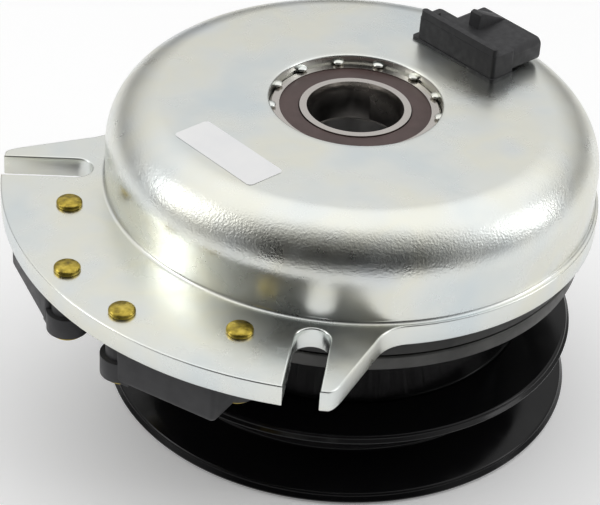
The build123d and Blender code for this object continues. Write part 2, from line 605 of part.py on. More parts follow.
for number, start in enumerate(SPRING_STARTS, 1):
    near, far = polar(SPRING_RIVET_R, start), polar(SPRING_RIVET_R, start + SPRING_SWEEP)
    reach = hypot(far[0] - near[0], far[1] - near[1])
    heading = degrees(atan2(far[1] - near[1], far[0] - near[0]))
    with BuildPart() as spring:
        with BuildSketch(Plane.XY.offset(DRUM_TOP)):
            with Locations(Location((near[0], near[1], 0), (0, 0, heading))):
                with Locations((reach / 2, 0)):
                    SlotCenterToCenter(reach, 2 * SPRING_HALF_WIDTH)
                with Locations((0, 0), (reach, 0)):
                    Circle(RIVET_R, mode=Mode.SUBTRACT)
        extrude(amount=SPRING_THICK)
    save(spring, f"leaf_spring_{number}")

# ---------------------------------------------------------------- pulley


def upper_cone(radius):
    """Height of the upper flange's top surface."""
    return UPPER_RIM_TOP - (UPPER_RIM_R - radius) * GROOVE_SLOPE


def lower_cone(radius):
    """Height of the lower flange's top surface."""
    return LOWER_RIM_TOP + (LOWER_RIM_R - radius) * GROOVE_SLOPE


drum_in = DRUM_R - PULLEY_SHEET
with BuildPart() as drum:
    with BuildSketch(Plane.XZ) as section:
        with BuildLine():
            Polyline((DRUM_EYE_R, DRUM_ROOF), (drum_in, DRUM_ROOF), (drum_in, DRUM_SEAM),
                     (DRUM_R, DRUM_SEAM), (DRUM_R, DRUM_TOP), (DRUM_EYE_R, DRUM_TOP), close=True)
        make_face()
        for radius, height, size in ((DRUM_R, DRUM_TOP, 4.5), (drum_in, DRUM_ROOF, 1.0)):
            fillet(section.vertices().sort_by_distance((radius, height))[0], size)
    revolve(axis=Axis.Z)
    with BuildSketch(Plane.XY.offset(DRUM_ROOF)):
        with Locations(*ARMATURE_RIVETS):
            Circle(RIVET_WINDOW_R)
        with Locations(*PULLEY_RIVETS):
            Circle(RIVET_R)
    extrude(amount=PULLEY_SHEET, mode=Mode.SUBTRACT)
save(drum, "pulley_drum")

save(spun([(drum_in, DRUM_SEAM), (drum_in, upper_cone(drum_in) - PULLEY_SLANT),
           (UPPER_RIM_R, UPPER_RIM_TOP - PULLEY_SLANT), (UPPER_RIM_R, UPPER_RIM_TOP),
           (DRUM_R, upper_cone(DRUM_R)), (DRUM_R, DRUM_SEAM)],
          [(DRUM_R, upper_cone(DRUM_R), 5.0), (drum_in, upper_cone(drum_in) - PULLEY_SLANT, 8.5),
           (UPPER_RIM_R, UPPER_RIM_TOP, 1.7), (UPPER_RIM_R, UPPER_RIM_TOP - PULLEY_SLANT, 0.9)]),
     "pulley_upper_flange")

root_in = ROOT_R - PULLEY_SHEET
save(spun([(ROOT_R, upper_cone(ROOT_R) - PULLEY_SLANT), (ROOT_R, lower_cone(ROOT_R)),
           (LOWER_RIM_R, LOWER_RIM_TOP), (LOWER_RIM_R, LOWER_RIM_TOP - PULLEY_SLANT),
           (root_in, lower_cone(root_in) - PULLEY_SLANT), (root_in, upper_cone(root_in) - PULLEY_SLANT)],
          [(ROOT_R, lower_cone(ROOT_R), 1.2), (LOWER_RIM_R, LOWER_RIM_TOP, 1.7),
           (LOWER_RIM_R, LOWER_RIM_TOP - PULLEY_SLANT, 0.9),
           (root_in, lower_cone(root_in) - PULLEY_SLANT, 4.5)]), "pulley_lower_flange")

with BuildPart() as web:
    with BuildSketch(Plane.XY.offset(WEB_BOTTOM)):
        Circle(root_in)
        Circle(CARRIER_R, mode=Mode.SUBTRACT)
        with PolarLocations(WEB_HOLES_R, 6):
            Circle(3.0, mode=Mode.SUBTRACT)
    extrude(amount=PULLEY_SHEET)
save(web, "pulley_web")

carrier_under = DRUM_ROOF - CARRIER_SHEET
with BuildPart() as carrier:
    with BuildSketch(Plane.XZ):
        with BuildLine():
            Polyline((PULLEY_BRG_R, CARRIER_BOTTOM), (CARRIER_R, CARRIER_BOTTOM), (CARRIER_R, carrier_under),
                     (drum_in - 1.2, carrier_under), (drum_in - 1.2, DRUM_ROOF), (PULLEY_BRG_R, DRUM_ROOF),
                     (PULLEY_BRG_R, PULLEY_BRG_TOP + CARRIER_SHEET),
                     (CARRIER_STOP_R, PULLEY_BRG_TOP + CARRIER_SHEET),
                     (CARRIER_STOP_R, PULLEY_BRG_TOP), (PULLEY_BRG_R, PULLEY_BRG_TOP),
                     (PULLEY_BRG_R, RING_Z + RING_THICK), (RING_OUT_R, RING_Z + RING_THICK),
                     (RING_OUT_R, RING_Z), (PULLEY_BRG_R, RING_Z), close=True)
        make_face()
    revolve(axis=Axis.Z)
    with BuildSketch(Plane.XY.offset(carrier_under)):
        with Locations(*ARMATURE_RIVETS):
            Circle(RIVET_WINDOW_R)
        with Locations(*PULLEY_RIVETS):
            Circle(RIVET_R)
    extrude(amount=CARRIER_SHEET, mode=Mode.SUBTRACT)
save(carrier, "bearing_carrier")

save(split_ring(RING_IN_R, RING_OUT_R, RING_Z, RING_THICK, 5.0, -0.6), "carrier_retaining_ring")

with BuildPart() as spring_rivets:
    for x, y in PULLEY_RIVETS:
        top, bottom = SPRING_TOP, carrier_under
        with BuildSketch(Plane(origin=(x, y, 0), x_dir=(1, 0, 0), z_dir=(0, -1, 0))):
            with BuildLine():
                Polyline((0, top + 1.4), (3.4, top + 1.2), (4.2, top + 0.6), (4.2, top), (RIVET_R, top),
                         (RIVET_R, bottom), (4.2, bottom), (3.8, bottom - 1.3), (0, bottom - 1.5),
                         close=True)
            make_face()
        revolve(axis=Axis((x, y, 0), (0, 0, 1)))
save(spring_rivets, "spring_rivets")
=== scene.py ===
"""Electromagnetic clutch: the looks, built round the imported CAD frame, in metres."""
from math import asin, atan2, cos, hypot, pi, radians, sin, sqrt, tan

import bmesh
import bpy
from mathutils import Matrix, Vector


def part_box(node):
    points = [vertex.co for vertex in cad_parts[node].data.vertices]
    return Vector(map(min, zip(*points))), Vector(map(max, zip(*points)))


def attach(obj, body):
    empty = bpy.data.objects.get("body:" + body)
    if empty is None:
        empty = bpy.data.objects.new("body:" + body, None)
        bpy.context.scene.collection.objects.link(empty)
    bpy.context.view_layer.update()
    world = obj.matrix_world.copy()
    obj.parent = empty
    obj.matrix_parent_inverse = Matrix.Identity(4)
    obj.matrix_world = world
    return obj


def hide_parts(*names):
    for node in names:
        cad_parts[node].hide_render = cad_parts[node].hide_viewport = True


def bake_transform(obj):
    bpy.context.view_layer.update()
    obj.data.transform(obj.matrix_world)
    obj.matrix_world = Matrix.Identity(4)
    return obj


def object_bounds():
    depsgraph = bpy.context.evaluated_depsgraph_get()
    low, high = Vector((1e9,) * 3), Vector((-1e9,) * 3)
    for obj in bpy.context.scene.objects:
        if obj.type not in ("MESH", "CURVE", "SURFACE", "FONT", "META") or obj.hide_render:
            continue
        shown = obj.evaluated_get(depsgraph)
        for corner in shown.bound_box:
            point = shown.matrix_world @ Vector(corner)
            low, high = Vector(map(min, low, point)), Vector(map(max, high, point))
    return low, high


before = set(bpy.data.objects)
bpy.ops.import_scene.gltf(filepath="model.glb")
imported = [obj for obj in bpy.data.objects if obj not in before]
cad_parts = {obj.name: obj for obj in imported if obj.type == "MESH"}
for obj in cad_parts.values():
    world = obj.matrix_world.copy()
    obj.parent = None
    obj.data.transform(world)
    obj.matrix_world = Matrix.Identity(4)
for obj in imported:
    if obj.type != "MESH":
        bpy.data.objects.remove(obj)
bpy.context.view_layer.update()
MM = 0.001


# ---------------------------------------------------------------- field shell
# A cup drawn from thick mild steel sheet, with its flange trimmed close to the wall except for
# one wide lug. The lug is blanked with two open slots, and the whole cup is bright zinc plated.

shell_low, shell_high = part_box("field_shell")
SHEET = 6.8
SHELL_TOP = shell_high.z / MM
FLANGE_BOTTOM = shell_low.z / MM
FLANGE_TOP = FLANGE_BOTTOM + SHEET
WALL_R = 75.0
BEND_R = 16.2
EYE_R = 26.2
TRIM_R = 76.5
LUG_R = 106.5
LUG_HALF_ANGLE = radians(45.4)
SLOT_ANGLE = radians(40.5)
SLOT_HALF_WIDTH = 5.1
SLOT_END_R = 84.0
PUNCHED_EDGE = 0.55
SIDE_FOOT = (-36.0, 60.5)
EAR_ROUND, SLOT_LIP, ROOT_ROUND = 5.5, 1.8, 6.5


def arc(centre_r, centre_z, radius, start, end, steps):
    """Points of a round stretch of a turned section, angles in degrees from the outward radius."""
    turn = [radians(start + (end - start) * i / steps) for i in range(steps + 1)]
    return [(centre_r + radius * cos(a), centre_z + radius * sin(a)) for a in turn]


def link(piece):
    """Put a new object in the scene."""
    bpy.context.collection.objects.link(piece)
    return piece


def turned(name, section, sides=288):
    """A closed ring: a (radius, height) outline in millimetres, turned round the shaft."""
    shape = bmesh.new()
    rings = []
    for i in range(sides):
        angle = 2 * pi * i / sides
        spoke = (cos(angle) * MM, sin(angle) * MM)
        rings.append([shape.verts.new((r * spoke[0], r * spoke[1], z * MM)) for r, z in section])
    for i in range(sides):
        near, far = rings[i], rings[(i + 1) % sides]
        for j in range(len(section)):
            k = (j + 1) % len(section)
            shape.faces.new((near[j], far[j], far[k], near[k]))
    bmesh.ops.recalc_face_normals(shape, faces=shape.faces)
    mesh = bpy.data.meshes.new(name)
    shape.to_mesh(mesh)
    shape.free()
    return link(bpy.data.objects.new(name, mesh))


def settle(piece, edge_angle=32):
    """Apply the piece's modifiers to its mesh, and shade it smooth up to its real edges."""
    bpy.context.view_layer.update()
    evaluated = piece.evaluated_get(bpy.context.evaluated_depsgraph_get())
    mesh = bpy.data.meshes.new_from_object(evaluated)
    piece.modifiers.clear()
    if piece.type != "MESH":
        name = piece.name
        bpy.data.objects.remove(piece)
        piece = link(bpy.data.objects.new(name, mesh))
    else:
        piece.data = mesh
    mesh.shade_smooth()
    mesh.set_sharp_from_angle(angle=radians(edge_angle))
    return piece


def joined(name, pieces):
    """One object from several meshes, each left as its own closed shell."""
    shape = bmesh.new()
    for piece in pieces:
        shape.from_mesh(piece.data)
        bpy.data.objects.remove(piece)
    mesh = bpy.data.meshes.new(name)
    shape.to_mesh(mesh)
    shape.free()
    return link(bpy.data.objects.new(name, mesh))


def plate(name, outlines, bottom, top, edge):
    """A flat sheet piece with rounded edges, from closed outlines, the first its outside."""
    curve = bpy.data.curves.new(name, "CURVE")
    curve.dimensions = "2D"
    curve.fill_mode = "BOTH"
    curve.extrude = ((top - bottom) / 2 - edge) * MM
    curve.bevel_depth = edge * MM
    curve.bevel_resolution = 3
    curve.offset = -edge * MM
    for outline in outlines:
        line = curve.splines.new("POLY")
        line.points.add(len(outline) - 1)
        for point, (x, y) in zip(line.points, outline):
            point.co = (x * MM, y * MM, 0, 1)
        line.use_cyclic_u = True
    piece = settle(link(bpy.data.objects.new(name, curve)))
    piece.data.transform(Matrix.Translation((0, 0, (top + bottom) / 2 * MM)))
    return piece


def eased(start, corner, end, steps=10):
    """A rounded corner between two points, pulled towards the sharp one."""
    points = []
    for i in range(steps + 1):
        t = i / steps
        points.append(tuple((1 - t) ** 2 * a + 2 * t * (1 - t) * b + t * t * c
                            for a, b, c in zip(start, corner, end)))
    return points


def along(a, b, distance):
    """The point that lies a distance from a towards b."""
    reach = hypot(b[0] - a[0], b[1] - a[1])
    return (a[0] + (b[0] - a[0]) * distance / reach, a[1] + (b[1] - a[1]) * distance / reach)


def on_circle(radius, angle):
    """A point round the shaft, the angle counted from the middle of the lug."""
    return (-radius * cos(angle), radius * sin(angle))


def flange_half():
    """Half of the flange's outline, from the middle of the lug round to the far side."""
    slot_edge = asin(SLOT_HALF_WIDTH / LUG_R)
    across = Vector((sin(SLOT_ANGLE), cos(SLOT_ANGLE))) * SLOT_HALF_WIDTH
    centre = Vector(on_circle(SLOT_END_R, SLOT_ANGLE))
    points = [on_circle(LUG_R, (SLOT_ANGLE - slot_edge) * i / 40) for i in range(41)]
    for i in range(21):
        turn = pi * i / 20
        inward = Vector((cos(SLOT_ANGLE), -sin(SLOT_ANGLE))) * SLOT_HALF_WIDTH
        points.append(tuple(centre - across * cos(turn) + inward * sin(turn)))
    points.append(on_circle(LUG_R, SLOT_ANGLE + slot_edge))
    ear = on_circle(LUG_R, LUG_HALF_ANGLE)
    points += eased(along(ear, points[-1], SLOT_LIP), ear, along(ear, SIDE_FOOT, EAR_ROUND))
    # where the lug's slanted side runs into the trimmed rim
    dx, dy = SIDE_FOOT[0] - ear[0], SIDE_FOOT[1] - ear[1]
    a, b, c = dx * dx + dy * dy, 2 * (ear[0] * dx + ear[1] * dy), LUG_R ** 2 - TRIM_R ** 2
    t = (-b - sqrt(b * b - 4 * a * c)) / (2 * a)
    root = (ear[0] + dx * t, ear[1] + dy * t)
    root_angle = atan2(root[1], -root[0])
    rim_start = root_angle + ROOT_ROUND / TRIM_R
    points += eased(along(root, ear, ROOT_ROUND), root, on_circle(TRIM_R, rim_start))
    points += [on_circle(TRIM_R, rim_start + (pi - rim_start) * i / 90) for i in range(1, 91)]
    return points


half = flange_half()
outside = half + [(x, -y) for x, y in reversed(half[1:-1])]
under_wall = [on_circle(WALL_R - 2, 2 * pi * i / 180) for i in range(180)]
flange = plate("flange", [outside, under_wall], FLANGE_BOTTOM, FLANGE_TOP, PUNCHED_EDGE)

bend_centre = WALL_R - BEND_R
inner_wall = WALL_R - SHEET
foot = 1.2
cup_section = (
    [(EYE_R, SHELL_TOP - SHEET)]
    + arc(EYE_R + 0.6, SHELL_TOP - 0.6, 0.6, 180, 90, 6)
    + [(r, SHELL_TOP) for r in (28.0, 31.0, 36.0, 42.0, 48.0, 54.0)]
    + arc(bend_centre, SHELL_TOP - BEND_R, BEND_R, 90, 0, 40)
    + [(WALL_R, 20.0), (WALL_R, FLANGE_TOP + foot + 2)]
    + arc(WALL_R + foot, FLANGE_TOP + foot, foot, 180, 270, 8)
    + [(WALL_R + foot, FLANGE_TOP - 0.8), (WALL_R - 1, FLANGE_TOP - 0.8), (WALL_R - 1, FLANGE_BOTTOM)]
    + arc(inner_wall + 0.5, FLANGE_BOTTOM + 0.5, 0.5, 270, 180, 4)
    + arc(bend_centre, SHELL_TOP - BEND_R, BEND_R - SHEET, 0, 90, 20)
)
cup = turned("cup", cup_section, 360)
field_shell = joined("zinc_field_shell", [cup, flange])


def ring_of(name, count, first, step, radius, height, shape, finish=None):
    """Geometry Nodes: copies of a shape set round the shaft, made one mesh."""
    tree = bpy.data.node_groups.new(name, "GeometryNodeTree")
    sizes = {}
    for label, kind, value in (("Count", "NodeSocketInt", count), ("First angle", "NodeSocketFloat", first),
                               ("Step", "NodeSocketFloat", step), ("Radius", "NodeSocketFloat", radius),
                               ("Height", "NodeSocketFloat", height)):
        socket = tree.interface.new_socket(label, in_out="INPUT", socket_type=kind)
        sizes[socket.identifier] = value
    tree.interface.new_socket("Mesh", in_out="OUTPUT", socket_type="NodeSocketGeometry")
    inputs = tree.nodes.new("NodeGroupInput")
    output = tree.nodes.new("NodeGroupOutput")
    wire = tree.links.new

    def maths(operation, a, b):
        node = tree.nodes.new("ShaderNodeMath")
        node.operation = operation
        for socket, value in zip(node.inputs, (a, b)):
            if isinstance(value, (int, float)):
                socket.default_value = value
            elif value is not None:
                wire(value, socket)
        return node.outputs[0]

    index = tree.nodes.new("GeometryNodeInputIndex").outputs[0]
    angle = maths("ADD", maths("MULTIPLY", index, inputs.outputs["Step"]), inputs.outputs["First angle"])
    place = tree.nodes.new("ShaderNodeCombineXYZ")
    wire(maths("MULTIPLY", maths("COSINE", angle, None), inputs.outputs["Radius"]), place.inputs[0])
    wire(maths("MULTIPLY", maths("SINE", angle, None), inputs.outputs["Radius"]), place.inputs[1])
    wire(inputs.outputs["Height"], place.inputs[2])
    points = tree.nodes.new("GeometryNodePoints")
    wire(inputs.outputs["Count"], points.inputs["Count"])
    wire(place.outputs[0], points.inputs["Position"])
    source = tree.nodes.new("GeometryNodeObjectInfo")
    source.inputs["Object"].default_value = shape
    turn = tree.nodes.new("ShaderNodeCombineXYZ")
    wire(angle, turn.inputs[2])
    copies = tree.nodes.new("GeometryNodeInstanceOnPoints")
    wire(points.outputs[0], copies.inputs["Points"])
    wire(source.outputs["Geometry"], copies.inputs["Instance"])
    wire(turn.outputs[0], copies.inputs["Rotation"])
    real = tree.nodes.new("GeometryNodeRealizeInstances")
    wire(copies.outputs[0], real.inputs[0])
    last = real.outputs[0]
    if finish is not None:
        paint = tree.nodes.new("GeometryNodeSetMaterial")
        paint.inputs["Material"].default_value = finish
        wire(last, paint.inputs["Geometry"])
        last = paint.outputs[0]
    wire(last, output.inputs[0])
    piece = link(bpy.data.objects.new(name, bpy.data.meshes.new(name)))
    modifier = piece.modifiers.new("copies", "NODES")
    modifier.node_group = tree
    for identifier, value in sizes.items():
        modifier[identifier] = value
    piece = settle(piece)
    bpy.data.objects.remove(shape)
    return piece


def ball(name, radius, squash_z=1.0):
    """A small ball, flattened if asked, for the punches and the pips that they push up."""
    shape = bmesh.new()
    bmesh.ops.create_icosphere(shape, subdivisions=3, radius=radius * MM)
    bmesh.ops.scale(shape, vec=(1, 1, squash_z), verts=shape.verts)
    mesh = bpy.data.meshes.new(name)
    shape.to_mesh(mesh)
    shape.free()
    return link(bpy.data.objects.new(name, mesh))


# The bearing is staked in by eight punch blows, which notch the eye and push a pip over the race.
STAKES, FIRST_STAKE, STAKE_STEP = 8, radians(-52.6), radians(28)
PUNCH_R, PUNCH_CIRCLE, PUNCH_SQUASH = 1.95, 26.75, 0.95
PIP_R, PIP_CIRCLE, PIP_SQUASH = 1.85, 25.9, 0.4
RACE_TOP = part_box("field_bearing_outer_race")[1].z / MM
punches = ring_of("punches", STAKES, FIRST_STAKE, STAKE_STEP, PUNCH_CIRCLE * MM, (SHELL_TOP + 0.1) * MM,
                  ball("punch", PUNCH_R, PUNCH_SQUASH))


def cut_away(piece, tool, edge_angle):
    """The piece with the tool's shape taken out of it, the tool's faces first turned outwards."""
    shape = bmesh.new()
    shape.from_mesh(tool.data)
    bmesh.ops.remove_doubles(shape, verts=shape.verts, dist=1e-7)
    bmesh.ops.recalc_face_normals(shape, faces=shape.faces)
    shape.to_mesh(tool.data)
    shape.free()
    cut = piece.modifiers.new("cut", "BOOLEAN")
    cut.operation, cut.solver, cut.object = "DIFFERENCE", "MANIFOLD", tool
    return settle(piece, edge_angle)


field_shell = cut_away(field_shell, punches, 40)
bpy.data.objects.remove(punches)


def new_finish(name, colour, roughness, metallic=0.0):
    """A named metal, plastic or paint finish."""
    material = bpy.data.materials.new(name)
    material.use_nodes = True
    shader = material.node_tree.nodes["Principled BSDF"]
    shader.inputs["Base Color"].default_value = (*colour, 1)
    shader.inputs["Roughness"].default_value = roughness
    shader.inputs["Metallic"].default_value = metallic
    return material


def pattern(material, scale, detail=4.0, stretch=(1, 1, 1), roughness=0.55):
    """Noise in the piece's own space, scale in features per metre."""
    nodes, links = material.node_tree.nodes, material.node_tree.links
    place = nodes.new("ShaderNodeTexCoord")
    fit = nodes.new("ShaderNodeMapping")
    fit.inputs["Scale"].default_value = stretch
    noise = nodes.new("ShaderNodeTexNoise")
    noise.inputs["Scale"].default_value = scale
    noise.inputs["Detail"].default_value = detail
    noise.inputs["Roughness"].default_value = roughness
    links.new(place.outputs["Object"], fit.inputs["Vector"])
    links.new(fit.outputs["Vector"], noise.inputs["Vector"])
    return noise.outputs["Fac"]


def spread(material, value, low, high, to_low, to_high):
    """A value moved from one range to another, and clamped."""
    node = material.node_tree.nodes.new("ShaderNodeMapRange")
    for name, number in (("From Min", low), ("From Max", high), ("To Min", to_low), ("To Max", to_high)):
        node.inputs[name].default_value = number
    material.node_tree.links.new(value, node.inputs["Value"])
    return node.outputs["Result"]


def tint(material, value, stops):
    """Colours read off a value, given as (place, colour) stops."""
    ramp = material.node_tree.nodes.new("ShaderNodeValToRGB")
    elements = ramp.color_ramp.elements
    while len(elements) < len(stops):
        elements.new(0.5)
    for element, (place, colour) in zip(elements, stops):
        element.position = place
        element.color = (*colour, 1)
    material.node_tree.links.new(value, ramp.inputs["Fac"])
    return ramp.outputs["Color"]


def product(material, a, b):
    """Two values multiplied."""
    node = material.node_tree.nodes.new("ShaderNodeMath")
    node.operation = "MULTIPLY"
    material.node_tree.links.new(a, node.inputs[0])
    material.node_tree.links.new(b, node.inputs[1])
    return node.outputs[0]


def feed(material, value, socket):
    """Wire a value to one of the finish's own inputs."""
    material.node_tree.links.new(value, material.node_tree.nodes["Principled BSDF"].inputs[socket])


def fix(material, socket, value):
    """Set one of the finish's own inputs to a constant."""
    material.node_tree.nodes["Principled BSDF"].inputs[socket].default_value = value


def bumps(material, height, depth, strength=1.0, under=None):
    """Surface relief from a height pattern, depth in millimetres."""
    bump = material.node_tree.nodes.new("ShaderNodeBump")
    bump.inputs["Strength"].default_value = strength
    bump.inputs["Distance"].default_value = depth * MM
    material.node_tree.links.new(height, bump.inputs["Height"])
    if under is not None:
        material.node_tree.links.new(under, bump.inputs["Normal"])
    feed(material, bump.outputs["Normal"], "Normal")
    return bump.outputs["Normal"]


zinc = new_finish("bright_zinc", (0.8, 0.8, 0.78), 0.3, 1.0)
clouds = pattern(zinc, 26, 3)
feed(zinc, tint(zinc, clouds, [(0.30, (0.65, 0.70, 0.71)), (0.46, (0.73, 0.75, 0.72)),
                               (0.58, (0.76, 0.76, 0.68)), (0.72, (0.70, 0.73, 0.73))]), "Base Color")
feed(zinc, spread(zinc, pattern(zinc, 60, 5), 0.3, 0.7, 0.22, 0.36), "Roughness")
# stretched grain, strongest where the sheet was drawn round the bend
grain = pattern(zinc, 1500, 3)
place = zinc.node_tree.nodes.new("ShaderNodeTexCoord")
parts = zinc.node_tree.nodes.new("ShaderNodeSeparateXYZ")
zinc.node_tree.links.new(place.outputs["Object"], parts.inputs[0])
BEND_FOOT, BEND_LOWER, BEND_UPPER, BEND_CROWN = 0.023, 0.030, 0.0375, 0.0402
FAINT_GRAIN = 0.12
on_bend = product(zinc, spread(zinc, parts.outputs["Z"], BEND_FOOT, BEND_LOWER, FAINT_GRAIN, 1.0),
                  spread(zinc, parts.outputs["Z"], BEND_CROWN, BEND_UPPER, FAINT_GRAIN, 1.0))
soft = bumps(zinc, pattern(zinc, 130, 2), 0.16, 0.35)
bumps(zinc, product(zinc, grain, on_bend), 0.14, 0.8, under=soft)
field_shell.data.materials.clear()
field_shell.data.materials.append(zinc)
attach(field_shell, "field")
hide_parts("field_shell")

pips = ring_of("stake_pips", STAKES, FIRST_STAKE, STAKE_STEP, PIP_CIRCLE * MM, (RACE_TOP + 0.75) * MM,
               ball("pip", PIP_R, PIP_SQUASH), zinc)
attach(pips, "field")

# ---------------------------------------------------------------- label
# A white vinyl film label with rounded corners, stuck flat on the cup's top near the lug.
# It is left blank.

label_low, label_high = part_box("blank_label")
middle = (label_low + label_high) / 2 / MM
size = (label_high - label_low) / MM
corner = 1.6
FILM_GAP, FILM_EDGE = 0.01, 0.04
outline = []
for sx, sy, start in ((1, 1, 0), (-1, 1, 90), (-1, -1, 180), (1, -1, 270)):
    centre = (middle.x + sx * (size.x / 2 - corner), middle.y + sy * (size.y / 2 - corner))
    outline += arc(*centre, corner, start, start + 90, 8)
label = plate("film_label", [outline], label_low.z / MM + FILM_GAP, label_high.z / MM, FILM_EDGE)
film = new_finish("blank_film", (0.98, 0.98, 0.98), 0.5)
feed(film, tint(film, pattern(film, 90, 3), [(0.3, (0.88, 0.885, 0.895)), (0.7, (0.93, 0.93, 0.925))]),
     "Base Color")
bumps(film, pattern(film, 140, 2), 0.05, 0.4)
label.data.materials.append(film)
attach(label, "field")
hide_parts("blank_label")

# ---------------------------------------------------------------- connector
# Glass-filled nylon moulded in one shot with a fine spark-eroded texture, clipped into the cup's
# top, with two tinned blades in its socket. Its shape is that of its CAD solid.


def dressed(node, body, finish, edge=0.0, edge_angle=32):
    """A merged copy of a CAD piece, its edges broken by a bevel. With no body it is left loose, attached to
    nothing.
    """
    shape = bmesh.new()
    shape.from_mesh(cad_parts[node].data)
    bmesh.ops.remove_doubles(shape, verts=shape.verts, dist=1e-6)
    bmesh.ops.dissolve_limit(shape, angle_limit=radians(0.5), verts=shape.verts, edges=shape.edges)
    mesh = bpy.data.meshes.new(node)
    shape.to_mesh(mesh)
    shape.free()
    piece = link(bpy.data.objects.new("made_" + node, mesh))
    if edge:
        bevel = piece.modifiers.new("edges", "BEVEL")
        bevel.width, bevel.segments = edge * MM, 2
        bevel.limit_method, bevel.angle_limit = "ANGLE", radians(38)
        bevel.harden_normals = False
        piece = settle(piece, edge_angle)
    else:
        mesh.shade_smooth()
        mesh.set_sharp_from_angle(angle=radians(edge_angle))
    piece.data.materials.clear()
    piece.data.materials.append(finish)
    if body:
        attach(piece, body)
    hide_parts(node)
    return piece


nylon = new_finish("moulded_nylon", (0.022, 0.022, 0.024), 0.55)
feed(nylon, spread(nylon, pattern(nylon, 500, 4), 0.3, 0.7, 0.46, 0.66), "Roughness")
bumps(nylon, pattern(nylon, 2600, 3), 0.035, 0.5)
dressed("connector_housing", "field", nylon, 0.35)

tin = new_finish("tinned_blade", (0.72, 0.71, 0.68), 0.28, 1.0)
bumps(tin, pattern(tin, 700, 3, (1, 1, 6)), 0.02, 0.3)
dressed("connector_terminals", "field", tin)

# ---------------------------------------------------------------- bearings
# Two sealed deep-groove ball bearings. The races are hardened steel, ground round the axis on
# their faces and bores, and the seals are brown nitrile rubber moulded on a steel washer.


def ground_steel(name, colour, roughness):
    """Steel with fine grinding lines that run round the shaft."""
    material = new_finish(name, colour, roughness, 1.0)
    links, nodes = material.node_tree.links, material.node_tree.nodes
    place = nodes.new("ShaderNodeTexCoord")
    split = nodes.new("ShaderNodeSeparateXYZ")
    links.new(place.outputs["Object"], split.inputs[0])
    flat = nodes.new("ShaderNodeCombineXYZ")
    links.new(split.outputs["X"], flat.inputs["X"])
    links.new(split.outputs["Y"], flat.inputs["Y"])
    reach = nodes.new("ShaderNodeVectorMath")
    reach.operation = "LENGTH"
    links.new(flat.outputs[0], reach.inputs[0])
    where = nodes.new("ShaderNodeCombineXYZ")
    links.new(reach.outputs["Value"], where.inputs["X"])
    links.new(split.outputs["Z"], where.inputs["Y"])
    lines = nodes.new("ShaderNodeTexNoise")
    lines.inputs["Scale"].default_value = 5200
    lines.inputs["Detail"].default_value = 2
    links.new(where.outputs[0], lines.inputs["Vector"])
    bumps(material, lines.outputs["Fac"], 0.012, 0.45)
    wear = spread(material, pattern(material, 80, 4), 0.3, 0.7, roughness - 0.06, roughness + 0.08)
    feed(material, wear, "Roughness")
    return material


race_steel = ground_steel("race_steel", (0.52, 0.49, 0.46), 0.22)
dressed("field_bearing_outer_race", "field", race_steel)
dressed("field_bearing_inner_race", "rotor", race_steel)
dressed("pulley_bearing_outer_race", "pulley", race_steel)
dressed("pulley_bearing_inner_race", "rotor", race_steel)

# seals
nitrile = new_finish("brown_nitrile", (0.13, 0.075, 0.068), 0.5)
nitrile_browns = [(0.3, (0.062, 0.036, 0.032)), (0.7, (0.09, 0.054, 0.049))]
feed(nitrile, tint(nitrile, pattern(nitrile, 120, 4), nitrile_browns), "Base Color")
bumps(nitrile, pattern(nitrile, 1100, 3), 0.03, 0.4)
for bearing, body in (("field_bearing", "field"), ("pulley_bearing", "pulley")):
    for side in ("upper", "lower"):
        dressed(f"{bearing}_seal_{side}", body, nitrile, 0.12)

# balls and cages
polished = new_finish("polished_balls", (0.8, 0.8, 0.8), 0.08, 1.0)
pressed = new_finish("pressed_steel", (0.5, 0.5, 0.5), 0.35, 1.0)
feed(pressed, spread(pressed, pattern(pressed, 300, 4), 0.3, 0.7, 0.28, 0.45), "Roughness")
for bearing, body in (("field_bearing", "field_cage"), ("pulley_bearing", "pulley_cage")):
    dressed(f"{bearing}_balls", body, polished)
    dressed(f"{bearing}_cage", body, pressed)

# ---------------------------------------------------------------- brake
# Two sintered pole shoes, phosphated nearly black with a trace of rust, each holding a ferrite
# magnet. They are riveted under the lug over a brass shim, and the rivets are yellow passivated.

phosphate = new_finish("phosphate_black", (0.04, 0.04, 0.041), 0.55, 0.35)
stain = product(phosphate, spread(phosphate, pattern(phosphate, 55, 3), 0.62, 0.72, 0, 1),
                spread(phosphate, pattern(phosphate, 400, 4), 0.45, 0.6, 0, 1))
shoe_browns = [(0.0, (0.038, 0.038, 0.04)), (1.0, (0.11, 0.05, 0.025))]
feed(phosphate, tint(phosphate, stain, shoe_browns), "Base Color")
feed(phosphate, spread(phosphate, pattern(phosphate, 200, 5), 0.3, 0.7, 0.42, 0.62), "Roughness")
bumps(phosphate, pattern(phosphate, 900, 4), 0.05, 0.5)
sheet_brass = new_finish("sheet_brass", (0.62, 0.46, 0.2), 0.35, 1.0)
ferrite = new_finish("ferrite", (0.03, 0.03, 0.032), 0.6)
bumps(ferrite, pattern(ferrite, 700, 4), 0.04, 0.5)
for side in ("a", "b"):
    dressed(f"brake_shoe_{side}", "field", phosphate, 0.5, 36)
    dressed(f"brake_shim_{side}", "field", sheet_brass)
    dressed(f"brake_magnet_{side}", "field", ferrite)

# rivets, their tops left uneven by the header
passivate = new_finish("yellow_passivate", (0.72, 0.5, 0.1), 0.32, 1.0)
yellows = [(0.32, (0.24, 0.18, 0.04)), (0.5, (0.46, 0.35, 0.06)), (0.68, (0.62, 0.48, 0.1))]
feed(passivate, tint(passivate, pattern(passivate, 420, 4), yellows), "Base Color")
feed(passivate, spread(passivate, pattern(passivate, 600, 4), 0.3, 0.7, 0.24, 0.46), "Roughness")
bumps(passivate, pattern(passivate, 620, 3), 0.35, 0.6)
dressed("brake_rivets", "field", passivate, 0.25)

